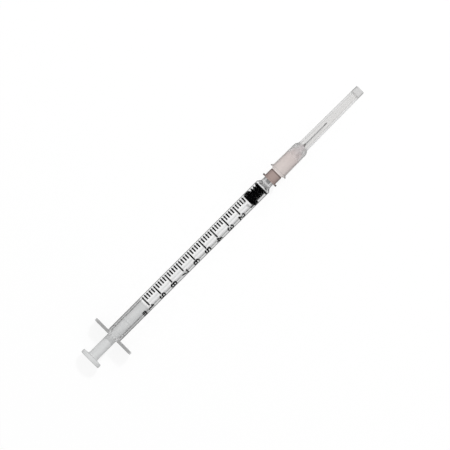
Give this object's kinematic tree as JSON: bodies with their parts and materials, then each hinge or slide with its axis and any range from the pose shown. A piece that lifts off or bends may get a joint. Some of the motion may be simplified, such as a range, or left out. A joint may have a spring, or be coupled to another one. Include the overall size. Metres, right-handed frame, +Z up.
{
  "type": "insulin syringe",
  "caption": "Slip-tip insulin syringe on its side: clear printed barrel with finger wings, plunger with black stopper that draws out, push-on needle under a pull-off cap.",
  "frame": {"origin": "on the surface the syringe lies on, under the middle of its box", "axes": "+X from the thumb rest to the closed end of the needle cap along the syringe's axis, +Y across the finger wings, +Z up"},
  "size_m": [0.144, 0.0186, 0.0096],
  "materials": {
    "barrel_plastic": "clear moulded polypropylene",
    "ink": "black printed ink",
    "rod_plastic": "milky moulded polypropylene",
    "stopper_rubber": "smooth black rubber",
    "hub_plastic": "translucent brown-tinted polypropylene",
    "adhesive": "cured clear adhesive",
    "needle_steel": "drawn stainless tube",
    "cap_plastic": "clear moulded polypropylene"
  },
  "bodies": {
    "barrel": {"barrel": "barrel_plastic", "scale_lines": "ink", "scale_numbers": "ink"},
    "stopper": {"stopper": "stopper_rubber"},
    "rod": {"plunger_rod": "rod_plastic"},
    "needle": {"needle_hub": "hub_plastic", "adhesive_bead": "adhesive", "cannula": "needle_steel"},
    "cap": {"needle_cap": "cap_plastic"}
  },
  "joints": [
    {"name": "plunger_slide", "type": "slide", "parent": "barrel", "child": "stopper", "axis": [-1, 0, 0], "range_m": [0, 0.068]},
    {"name": "plunger_turn", "type": "hinge", "parent": "stopper", "child": "rod", "pos_m": [0.0142, 0, 0.0048], "axis": [1, 0, 0], "continuous": true},
    {"name": "needle_pull", "type": "slide", "parent": "barrel", "child": "needle", "axis": [1, 0, 0], "range_m": [0, 0.015]},
    {"name": "cap_pull", "type": "slide", "parent": "needle", "child": "cap", "axis": [1, 0, 0], "range_m": [0, 0.035]}
  ]
}
